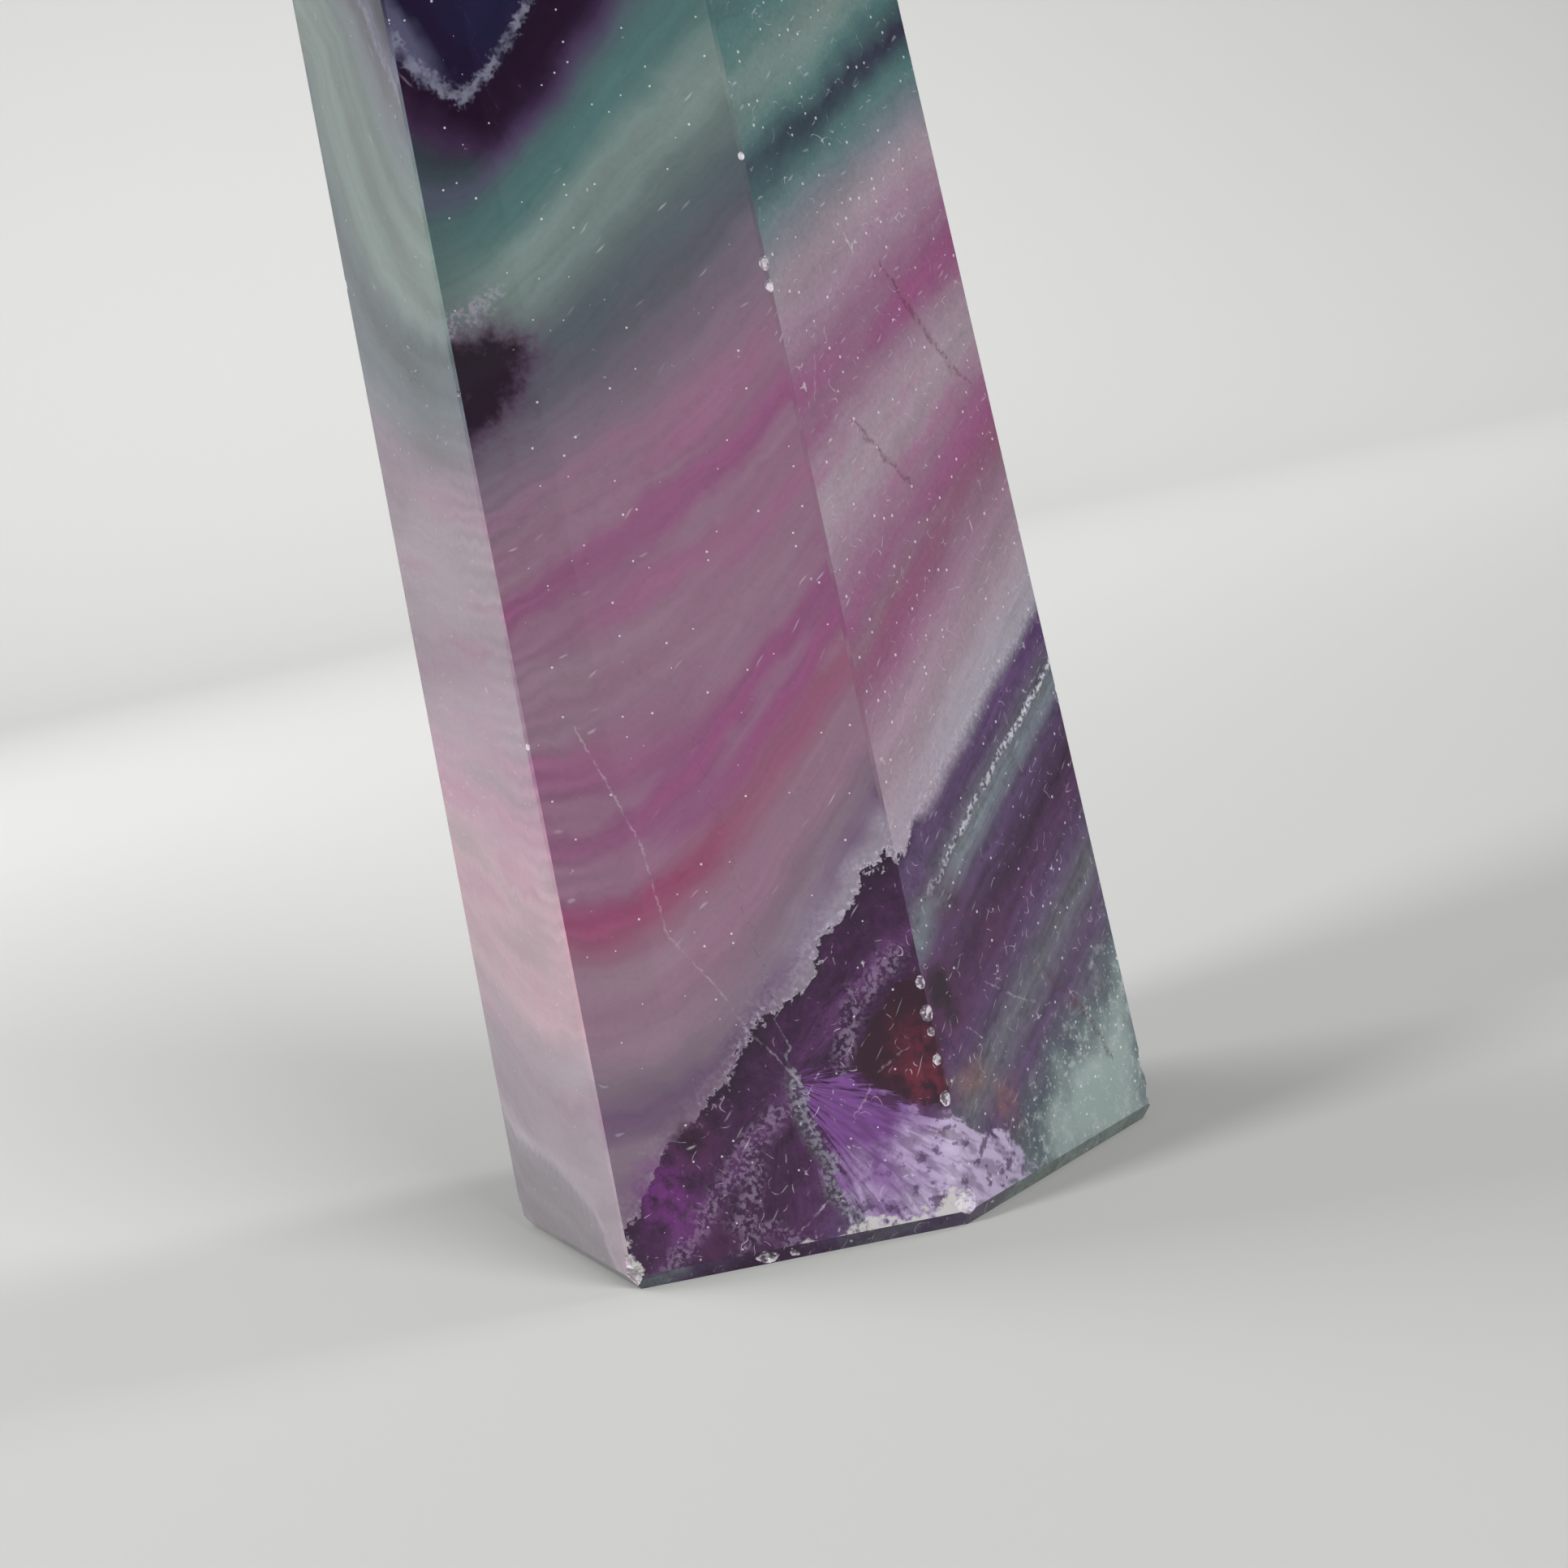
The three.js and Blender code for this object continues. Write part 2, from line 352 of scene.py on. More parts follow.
def crumbled(fine):
    """Moves the points inside the chips inwards by small cleavage steps, and none past the CAD box."""
    points = np.array(fine.points)
    triangles = np.array(fine.triangles)
    scar = np.array(fine.scar) == 1
    rim = set(triangles[~scar].ravel().tolist())
    lean = {}
    for t, normal in zip(triangles[scar], np.array(fine.normals)[scar]):
        for i in t:
            if i not in rim:
                lean[i] = lean.get(i, 0) + normal
    for i, normal in lean.items():
        where = Vector(points[i])
        level = 0.5 + 0.5 * noise.noise(where * STEPS_PER_MM)
        crumb = noise.cell(where * CRUMBS_PER_MM)
        depth = SCAR_DEPTH * (0.6 * round(level * SCAR_STEPS) / SCAR_STEPS + 0.4 * crumb)
        points[i] -= depth * normal / np.linalg.norm(normal)
    low, high = (np.array(limit) / MM for limit in cad_box)
    return np.clip(points, low, high), triangles, np.array(fine.normals), scar


# ---------------- growth zones, in millimetres

LEVEL_MIDDLE = 25.0         # the zones are described about this height
LEVEL_SPAN = 20.0
LEVEL_TOP = 47.0            # above this they keep their shape
VALLEY_FRONT = -11.3        # y of the front side's middle
LEFT_REACH = 6.0            # the left arm levels off this far from the valley

# Each of these is a polynomial in the level: the value at the middle height, then its terms per span.
VALLEY_X = (-7.7, 2.9)      # x of the valley's lowest line
RIGHT_CLIMB = (0.055, 1.1)  # rise of the right arm with x
RIGHT_CURL = (0.033, -0.07)  # rise with x squared
RIGHT_LEAN = (0.07, 0.18)   # rise with y
LEFT_CLIMB = (0.32, 0.74, -2.1)  # rise of the left arm with x
LEFT_LEAN = (0.24, 0.44)    # rise with y
ROUNDNESS = (-0.9, -0.6)    # natural logarithm of how round the lowest line is
VALLEY_SHIFT = 0.9          # the lowest line also moves right by this between two heights
VALLEY_SHIFT_HEIGHTS = (36.0, 43.0)


def at_level(terms, level):
    """Value of a polynomial in the level."""
    return sum(term * level ** power for power, term in enumerate(terms))


def zone_height(p):
    """Height of the growth zone at a point, named by where it meets the lowest line of its valley.

    Each zone is a valley with a steep left arm and a right arm that climbs more steeply the higher up it is.
    """
    x, y, z = p[:, 0], p[:, 1], p[:, 2]
    level = (np.clip(z, 0, LEVEL_TOP) - LEVEL_MIDDLE) / LEVEL_SPAN
    dx = x - at_level(VALLEY_X, level) - VALLEY_SHIFT * eased(z, *VALLEY_SHIFT_HEIGHTS)
    dy = y - VALLEY_FRONT
    right = at_level(RIGHT_CLIMB, level) * dx + at_level(RIGHT_CURL, level) * dx ** 2
    right += at_level(RIGHT_LEAN, level) * dy
    out = np.where(dx < 0, -LEFT_REACH * (1 - np.exp(np.minimum(dx, 0) / LEFT_REACH)), dx)
    left = at_level(LEFT_CLIMB, level) * out + at_level(LEFT_LEAN, level) * dy
    soft = np.exp(at_level(ROUNDNESS, level))
    rise = (right + left + np.sqrt((right - left) ** 2 + soft ** 2) - soft) / 2
    return z - rise


ROOT_TOP = 10.58            # height of the dark root's slanting top on the column's axis
ROOT_SLOPE_X = 0.93
ROOT_SLOPE_Y = 0.19
ROOT_EASES_FROM = 5.5       # to the right of this x it climbs less
ROOT_EASING = 0.12


def root_depth(p):
    """How far a point lies below the slanting top of the dark root."""
    x, y, z = p[:, 0], p[:, 1], p[:, 2]
    top = ROOT_TOP + ROOT_SLOPE_X * x + ROOT_SLOPE_Y * y - ROOT_EASING * np.maximum(x - ROOT_EASES_FROM, 0)
    return top - z


# ---------------- colours, in screen numbers out of 255

def screen(colour):
    """Linear colour from screen numbers out of 255."""
    linear = [(c / 255 / 12.92 if c <= 10 else ((c / 255 + 0.055) / 1.055) ** 2.4) for c in colour]
    return (*linear, 1.0)


MILK = (164, 148, 159)
MIST = (128, 111, 126)
MAUVE = (144, 113, 132)
PLUM = (140, 89, 123)
WINE = (142, 70, 100)
BLUSH = (190, 154, 166)
ROSE = (174, 127, 153)
HEATHER = (150, 124, 143)
SMOKE = (98, 98, 107)
SLATE = (82, 92, 99)
SAGE = (122, 138, 133)
TEAL = (84, 119, 118)
SEA = (78, 103, 104)
FOG = (112, 121, 128)
THISTLE = (106, 80, 110)
IRIS = (84, 62, 98)
GRAPE = (78, 44, 84)
PRUNE = (56, 27, 60)
DUSK = (47, 36, 62)
NIGHT = (37, 20, 40)
INDIGO = (34, 30, 60)

# Growth zones as (height, colour at that height); the right side shows them cleaner than the front. The left
# side's colours are painted paler, a painted reflection of the bright surroundings.
FRONT_ZONES = [
    (0, MIST), (8.3, MIST), (9.2, THISTLE), (10.1, MIST), (12, MAUVE), (13.6, MAUVE), (15, WINE), (16, PLUM),
    (18, PLUM), (20, MAUVE), (22, MAUVE), (24, PLUM), (26, MAUVE), (28, MIST), (30, SMOKE), (31.6, SLATE),
    (34, SAGE), (35.2, SAGE), (36.4, TEAL), (38, SEA), (38.8, IRIS), (39.6, NIGHT), (41.6, NIGHT),
    (42.4, INDIGO),
]
RIGHT_ZONES = [
    (0, HEATHER), (12, MILK), (13.6, MAUVE), (15, PLUM), (18, PLUM), (20, MILK), (22, MILK), (23.1, PLUM),
    (25, PLUM), (26.2, HEATHER), (28, MILK), (29.6, FOG), (30.8, TEAL), (31.8, DUSK), (33, TEAL),
    (34.1, SAGE), (36, TEAL), (38, SEA), (40.2, DUSK), (42, DUSK),
]
# the left side's zones, painted paler as a painted reflection of the bright surroundings
LEFT_ZONES_AND_REFLECTION = [
    (0, MILK), (8, MILK), (9.3, HEATHER), (10.4, MILK), (12, BLUSH), (16, BLUSH), (18, ROSE), (20, HEATHER),
    (22, HEATHER), (24, MILK), (26, MILK), (28, HEATHER), (30, FOG), (32.4, SLATE), (34.6, SAGE),
    (38.4, SAGE), (40.4, FOG), (42, SMOKE),
]
UPPER = [                   # the part of the column above the banded middle
    (44, INDIGO), (47.5, DUSK), (50, HEATHER), (54, MILK), (58, TEAL), (62, DUSK), (66, HEATHER), (73, SAGE),
]
FRONT_ROOT = [              # the dark root, by depth below its top
    (0, NIGHT), (0.6, PRUNE), (1.8, PRUNE), (2.6, GRAPE), (3.5, PRUNE), (5.5, PRUNE), (8, GRAPE),
    (9.5, IRIS), (11.5, MILK), (16, MILK),
]
RIGHT_ROOT = [
    (0, DUSK), (0.5, IRIS), (1.5, IRIS), (2.6, SMOKE), (3.4, FOG), (4.4, IRIS), (6.2, PRUNE), (7.6, GRAPE),
    (9, IRIS), (10.5, SMOKE), (12.5, IRIS), (14.5, SMOKE), (16, SAGE), (22, SAGE),
]


def shade(value, stops):
    """Linear colours along a value, from stops of (value, screen colour)."""
    at = [stop[0] for stop in stops]
    colours = np.array([screen(stop[1])[:3] for stop in stops])
    return np.stack([np.interp(value, at, colours[:, i]) for i in range(3)], axis=1)


def eased(value, low, high):
    """0 at low, 1 at high, smooth between; low may be the larger."""
    t = np.clip((value - low) / (high - low), 0, 1)
    return t * t * (3 - 2 * t)


def painted(colours, share, new):
    """Lays a screen colour over linear colours where share is 1."""
    return colours + (np.array(screen(new)[:3]) - colours) * share[:, None]


# ---------------- where things lie round the front edge

def nearest_side(p):
    """The side each point is nearest to."""
    reach = np.stack([(p - corner(k, 0)) @ side_normal(k) for k in range(SIDES)])
    return reach.argmax(axis=0)


def from_edge(index, p):
    """Level distance from an upright edge of the column."""
    foot, above = (corner(index, z)[:2] for z in (0, 1))
    return np.linalg.norm(p[:, :2] - foot - (above - foot) * p[:, 2:3], axis=1)


def round_front(p, side):
    """Distance round the column from the edge between front and right: to the right positive."""
    away = from_edge(RIGHT, p)
    width = np.linalg.norm(corner(FRONT, 0) - corner(RIGHT, 0)) * (1 - TAPER_PER_MM * p[:, 2])
    shown = np.where(side == RIGHT, away, np.where(side == FRONT, -away, -width - from_edge(FRONT, p)))
    return np.where((side < LEFT) | (side > RIGHT), round_back(p, side), shown)


def round_back(p, side):
    """Distance along the sides behind, and across the point and the foot."""
    along = p[:, 0] - BEHIND * SIDES
    for k in range(RIGHT + 1, SIDES):
        edge = corner(k + 1, 0) - corner(k, 0)
        along = np.where(side == k, p @ edge / np.linalg.norm(edge) - BEHIND * k, along)
    return along


def stroke_distance(w, z, path):
    """Signed and plain distance to a line of straight pieces; positive to the right of its direction."""
    best = np.full(len(w), np.inf)
    sign = np.ones(len(w))
    for (w0, z0), (w1, z1) in zip(path[:-1], path[1:]):
        length = math.hypot(w1 - w0, z1 - z0)
        ex, ez = (w1 - w0) / length, (z1 - z0) / length
        t = np.clip((w - w0) * ex + (z - z0) * ez, 0, length)
        away = np.hypot(w - w0 - t * ex, z - z0 - t * ez)
        turn = (w - w0) * ez - (z - z0) * ex
        nearer = away < best
        sign = np.where(nearer, np.where(turn >= 0, 1.0, -1.0), sign)
        best = np.where(nearer, away, best)
    return sign * best, best


def depth_in(w, z, outline):
    """How far inside a closed outline a point lies; negative outside."""
    _, away = stroke_distance(w, z, outline + outline[:1])
    crossed = np.zeros(len(w), bool)
    for (w0, z0), (w1, z1) in zip(outline, outline[1:] + outline[:1]):
        if z0 == z1:
            continue
        crossed ^= ((z0 > z) != (z1 > z)) & (w < w0 + (z - z0) * (w1 - w0) / (z1 - z0))
    return np.where(crossed, away, -away)


def glow(w, z, spots):
    """Soft round patches; each is (place round the front, height, radius, strength)."""
    total = np.zeros(len(w))
    for at, height, radius, strength in spots:
        total += strength * np.exp(-((w - at) ** 2 + (z - height) ** 2) / radius ** 2)
    return np.clip(total, 0, 1)


# Single marks on the front and right sides, as points (distance round the front edge, height).
FAN = [(-5.2, 6.5), (-3.7, 6.5), (-2.3, 5.5), (-0.7, 4.3), (2.0, 3.1), (3.7, 1.9), (4.6, 0.6), (2.3, 0.4),
       (0.1, -0.5), (-2.8, -0.5), (-4.1, 0.9), (-4.8, 2.4), (-4.5, 3.4), (-4.9, 4.5)]
FAN_ORIGIN = (-5.6, 6.6)
WEDGE = [(-1.0, 9.4), (-2.6, 7.6), (-3.2, 6.7), (-2.3, 5.5), (-1.2, 4.9), (-0.2, 4.5), (0.3, 5.0),
         (0.2, 7.2), (0.0, 9.6)]
GLASS = [(6.3, 3.6), (7.6, 4.6), (9.6, 5.0), (11.2, 5.9), (12.2, 7.6), (13.4, 8.4), (13.4, -1.0),
         (5.3, -1.0), (4.5, 1.6), (4.9, 2.4), (5.0, 3.2)]
CRUST = [(-5.1, 6.5), (-5.0, 5.3), (-4.8, 4.2), (-4.4, 3.4), (-4.6, 2.4), (-4.1, 1.6), (-3.6, 0.6)]
VEILS = (
    [(-11.3, 0.2), (-10.7, 1.0), (-9.4, 2.4), (-8.2, 3.8), (-6.9, 4.9), (-5.4, 5.8)],
    [(-8.4, 0.3), (-8.1, 1.6), (-7.2, 4.0)],
    [(-8.1, 1.6), (-7.1, 1.2), (-6.4, 0.4)],
    [(-3.4, 6.6), (-2.9, 8.4), (-1.9, 9.5), (-0.6, 10.5)],
    [(-13.0, 35.3), (-11.6, 35.5), (-10.4, 35.9), (-9.6, 36.4)],
)
PALE_CRACKS = (
    [(-10.2, 20.6), (-9.6, 18.8), (-8.8, 16.1), (-8.6, 12.7), (-7.2, 10.4), (-6.5, 8.6), (-5.9, 7.9),
     (-5.1, 6.5)],
    [(-3.2, 5.0), (-2.3, 6.2), (-1.2, 6.9)],
    [(-6.1, 1.1), (-5.0, 2.0), (-4.6, 2.1)],
    [(2.2, 33.4), (0.9, 29.8)],
    [(3.4, 8.4), (5.6, 7.0), (7.4, 6.2)],
)
DARK_CRACKS = (
    [(7.6, 7.6), (8.9, 6.2), (10.1, 4.7), (10.7, 3.4)],
    [(6.9, 34.6), (8.1, 32.9), (9.9, 30.6), (10.6, 30.2)],
    [(3.2, 29.2), (4.3, 28.1), (5.6, 26.9)],
)
PATCHES = (                 # colour, then (place round the front, height, radius, strength) of each
    ((116, 40, 58), ((-0.7, 7.3, 0.8, 0.5), (-0.5, 5.6, 0.7, 0.85), (-1.4, 6.0, 0.7, 0.35))),
    ((142, 98, 80), ((3.5, 3.7, 0.8, 0.6), (2.0, 5.0, 0.7, 0.45), (0.9, 5.0, 0.7, 0.3))),
    ((112, 46, 120), ((-11.0, 3.6, 1.1, 0.9), (-10.3, 2.2, 0.8, 0.5), (-3.3, 4.4, 1.1, 0.7),
                      (-2.8, 3.0, 0.9, 0.5))),
)
MURK_SPOTS = (              # dark blotches, as the spots of a patch
    (-12.4, 32.9, 1.7, 1.0), (-11.2, 33.6, 1.7, 0.65), (-10.0, 34.0, 1.5, 0.45), (-8.9, 34.4, 1.0, 0.25),
    (-11.4, 32.4, 2.4, 0.2), (-9.4, 5.1, 1.0, 0.9), (-9.2, 1.4, 0.9, 0.7),
    (0.9, 8.8, 1.1, 1.0), (1.6, 7.4, 0.9, 0.6), (2.6, 11.6, 1.3, 0.7), (5.0, 9.6, 1.2, 0.4),
)
PALE_SPOTS = (              # pale crusts at the foot
    (-12.8, 0.6, 0.8, 1.2), (-12.9, 1.6, 0.5, 0.9), (-0.7, 0.9, 0.75, 1.2), (-6.2, 0.5, 0.6, 0.75),
    (-4.6, 0.5, 0.7, 0.8), (-3.2, 0.6, 0.6, 0.85), (-2.2, 0.5, 0.7, 0.8),
)
# Top of the greyer lens low on the left side, in the same terms.
LENS_TOP = ((-26.3, 5.6), (-24.4, 4.2), (-19.5, 3.7), (-15.3, 2.5), (-14.4, 0.8), (-13.0, -0.5))
FAR = 9.0                   # distance that stands for nowhere near a mark
BEHIND = 25.0               # keeps the sides behind apart from those in front
DEEP_SHARE = 0.4            # share of a zone's colour that comes from deeper in
FRONT_PAINTED_LIGHT, RIGHT_PAINTED_LIGHT, LEFT_PAINTED_LIGHT = 0.94, 1.12, 1.1  # painted light and shade: each side's zones made brighter or darker for the light that falls on that side
SKIN_DEPTH = 1.2            # millimetres inwards of the two places that give a zone its colour
DEEP_DEPTH = 4.0
ROOT_SKIN_DEPTH = 0.3
STORED = (                  # numbers kept at each face corner, three to an attribute
    "root", "ragged", "zone",
    "fan", "fan_turn", "fan_reach",
    "wedge", "glass", "crust",
    "veil", "pale", "murk",
    "pale_crack", "pale_crack_far", "patch",
    "dark_crack", "dark_crack_far", "bevel",
    "scar", "under", "clear",
    "w", "busy", "lumps",
)
STORED_COLOURS = ("zone_colour", "root_colour", "patch_colour")


def slow_noise(points, per_mm, octaves):
    """Smooth noise about nought at each point."""
    total = np.zeros(len(points))
    for octave in range(octaves):
        scale = per_mm * 2 ** octave
        total += 0.5 ** octave * np.array([noise.noise(Vector(p) * scale) for p in points])
    return total * 0.5


def layer_noise(height, w):
    """Smooth noise about nought that follows the layers."""
    fields = [noise.noise(Vector((h, 0.15 * a, 0.0))) for h, a in zip(height.tolist(), w.tolist())]
    return 0.5 * np.array(fields)


def zone_colours(values, deep, w, side):
    """Linear colours of the growth zones, part from near the surface and part from deeper in."""
    zone = values["zone"]

    def both_depths(stops):
        near = shade(zone, stops + UPPER)
        return near + DEEP_SHARE * (shade(deep, stops + UPPER) - near)

    # each side's zones are scaled by that side's painted light and shade
    colours = RIGHT_PAINTED_LIGHT * both_depths(RIGHT_ZONES)
    for number, stops, painted_light in ((FRONT, FRONT_ZONES, FRONT_PAINTED_LIGHT), (LEFT, LEFT_ZONES_AND_REFLECTION, LEFT_PAINTED_LIGHT)):
        colours = np.where((side == number)[:, None], painted_light * both_depths(stops), colours)
    colours = with_streaks(colours, zone, w, side)
    colours = with_edge_tints(colours, zone, w, side)
    colours = with_haze(colours, values["root"], w)
    return with_lens(colours, w, values["height"], side == LEFT)


def with_streaks(colours, zone, w, side):
    """A duller stretch of the wine zone, plum and milky streaks, and lights and darks along the layers."""
    calmer = eased(w, -7.5, -4.0) * eased(np.abs(zone - 14.8), 1.6, 0.5)
    colours = painted(colours, 0.7 * calmer, (140, 100, 118))
    pink = eased(zone, 11.5, 13.5) * eased(zone, 30.0, 25.0)
    bands = layer_noise(zone, w)
    colours = painted(colours, 0.33 * pink * eased(bands, 0.0, 0.22), (144, 72, 118))
    colours = painted(colours, 0.35 * pink * eased(bands, 0.0, -0.2), (164, 142, 156))
    depth_of_bands = np.where(side == LEFT, 0.5 + 0.3 * eased(zone, 28.0, 32.0), 0.4)
    return colours * (1 + depth_of_bands * bands)[:, None]


def with_edge_tints(colours, zone, w, side):
    """Greyer stone beside the left edge of the front, and the blue arm of the darkest zone there."""
    corner_shade = eased(w, -8.5, -12.5) * eased(np.abs(zone - 36), 4.0, 1.0) * (side == FRONT)
    colours = painted(colours, 0.5 * corner_shade, (70, 80, 84))
    left_arm = eased(np.abs(zone - 42.6), 0.7, 0.3) * eased(w, -9.4, -10.4)
    return painted(colours, 0.6 * left_arm, (104, 106, 134))


def with_haze(colours, root, w):
    """Pale haze above the root, near the front edge and on the right."""
    near_edge = eased(np.abs(w + 1), 6.0, 1.0) * eased(root, -2.6, -0.4)
    colours = painted(colours, 0.34 * near_edge, (176, 174, 188))
    on_right = eased(w, 1.0, 6.0) * eased(root, -3.0, -0.3)
    return painted(colours, 0.45 * on_right, (176, 184, 192))


def with_lens(colours, w, height, on_left):
    """The greyer lens low on the left side, with its pale rim and ribs."""
    below = np.where(on_left, np.interp(w, *zip(*LENS_TOP)) - height, -FAR)
    colours = painted(colours, 0.8 * eased(below, -0.1, 0.2), (144, 136, 144))
    ribs = eased(below, 0.2, 0.6) * eased(np.sin(3.6 * below), 0.5, 1.0)
    colours = painted(colours, 0.35 * ribs, (176, 168, 175))
    return painted(colours, 0.4 * eased(np.abs(below + 0.2), 0.5, 0.05), (206, 198, 206))


def root_colours(depth, side):
    """Linear colours of the dark root."""
    return np.where((side == FRONT)[:, None], shade(depth, FRONT_ROOT), shade(depth, RIGHT_ROOT))


def layers(p, side, facing, waves, lumps):
    """Where face corners lie among the zones and in the root, and the colours there, by name."""
    w = round_front(p, side)
    busy = (side != FRONT) & (side != LEFT)
    calm = busy * eased(w, 0.3, 2.8)
    values = {"w": w, "height": p[:, 2], "lumps": lumps, "busy": busy.astype(float)}
    values["ragged"] = 1 - 0.8 * calm
    values["zone"] = zone_height(p - SKIN_DEPTH * facing) + waves
    depth = root_depth(p - ROOT_SKIN_DEPTH * facing) + 2.0 * lumps * values["ragged"]
    values["root"] = np.where(side == LEFT, -FAR, depth)
    values["zone_colour"] = zone_colours(values, zone_height(p - DEEP_DEPTH * facing) + waves, w, side)
    values["root_colour"] = root_colours(depth, side)
    values["clear"] = np.where(side == LEFT, 0.1, 0.3)
    return values


def marks(w, z, shown, lumps):
    """How far face corners lie from each single mark, by name; shown is where there are marks."""
    values = {}
    for name, outline in (("fan", FAN), ("wedge", WEDGE), ("glass", GLASS)):
        values[name] = np.where(shown, depth_in(w, z, outline), -FAR)
    values["glass"] += 1.6 * lumps
    values["crust"] = np.where(shown, stroke_distance(w, z, CRUST)[0], FAR)
    veils = np.min([stroke_distance(w, z, path)[1] for path in VEILS], axis=0)
    values["veil"] = np.where(shown, veils, FAR)
    for name, paths in (("pale_crack", PALE_CRACKS), ("dark_crack", DARK_CRACKS)):
        signed, away = np.array([stroke_distance(w, z, path) for path in paths]).transpose(1, 0, 2)
        nearest = away.argmin(axis=0)
        values[name] = np.where(shown, signed[nearest, np.arange(len(w))], FAR)
        values[name + "_far"] = np.where(shown, away.min(axis=0), FAR)
    values["murk"] = shown * glow(w, z, MURK_SPOTS)
    values["pale"] = shown * glow(w, z, PALE_SPOTS)
    strengths = np.array([glow(w, z, spots) for _, spots in PATCHES])
    values["patch"] = shown * strengths.max(axis=0)
    patch_colours = np.array([screen(colour)[:3] for colour, _ in PATCHES])
    values["patch_colour"] = patch_colours[strengths.argmax(axis=0)]
    values["fan_turn"] = np.arctan2(FAN_ORIGIN[1] - z, w - FAN_ORIGIN[0])
    values["fan_reach"] = np.hypot(FAN_ORIGIN[1] - z, w - FAN_ORIGIN[0])
    return values


def shown_side(points, triangles, normals, scar):
    """The side that each triangle belongs to; a chip belongs to the side it is nearest to."""
    nearest = nearest_side(points[triangles].mean(axis=1))
    facing = (normals @ np.stack([side_normal(k) for k in range(SIDES)]).T).argmax(axis=1)
    upright = np.abs(normals[:, 2]) < UPRIGHT
    return np.where(scar, nearest, np.where(upright, facing, NO_SIDE))


def corner_values(points, triangles, normals, scar):
    """Everything that is stored at the face corners, by name."""
    side = np.repeat(shown_side(points, triangles, normals, scar), 3)
    waves = 0.45 * slow_noise(points, 0.22, 2) + 0.5 * slow_noise(points, 0.9, 2)
    lumps = slow_noise(points, 0.75, 2)
    at = triangles.ravel()
    values = layers(points[at], side, np.repeat(normals, 3, axis=0), waves[at], lumps[at])
    shown = (side == FRONT) | (side == RIGHT)
    values.update(marks(values["w"], values["height"], shown, values["lumps"]))
    values["scar"] = np.repeat(scar.astype(float), 3)
    tilted = (normals[:, 2] < -0.1) & (normals[:, 2] > -FACING_DOWN) & ~scar
    values["bevel"] = np.repeat(tilted.astype(float), 3) * eased(values["w"], -3.0, 1.0)
    values["under"] = np.repeat((normals[:, 2] < -FACING_DOWN).astype(float), 3)
    return values


def built_tower():
    """The finer tower as a Blender object with its stored values."""
    points, triangles = welded_triangles(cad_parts[NODE].data)
    points, triangles, normals, scar = crumbled(refined(points, triangles))
    used, triangles = np.unique(triangles, return_inverse=True)
    triangles = triangles.reshape(-1, 3)
    points = points[used]
    mesh = bpy.data.meshes.new("tower_looks")
    mesh.from_pydata((points * MM).tolist(), [], triangles.tolist())
    values = corner_values(points, triangles, normals, scar)
    for number in range(len(STORED) // 3):
        trio = [values[name] for name in STORED[3 * number:3 * number + 3]]
        store(mesh, trio_name(number), np.stack(trio, axis=1))
    for name in STORED_COLOURS:
        store(mesh, name, values[name])
    tower = added("tower", mesh)
    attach(tower, "root")
    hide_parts(NODE)
    return tower


def store(mesh, name, rows):
    """Keeps three numbers at each face corner of a mesh."""
    layer = mesh.attributes.new(name, "FLOAT_VECTOR", "CORNER")
    layer.data.foreach_set("vector", rows.astype(np.float32).ravel())


def trio_name(number):
    """Name of the attribute that keeps three stored numbers."""
    return f"marks_{number}"


# ---------------- material

NOISE_ROUGHNESS = 0.63


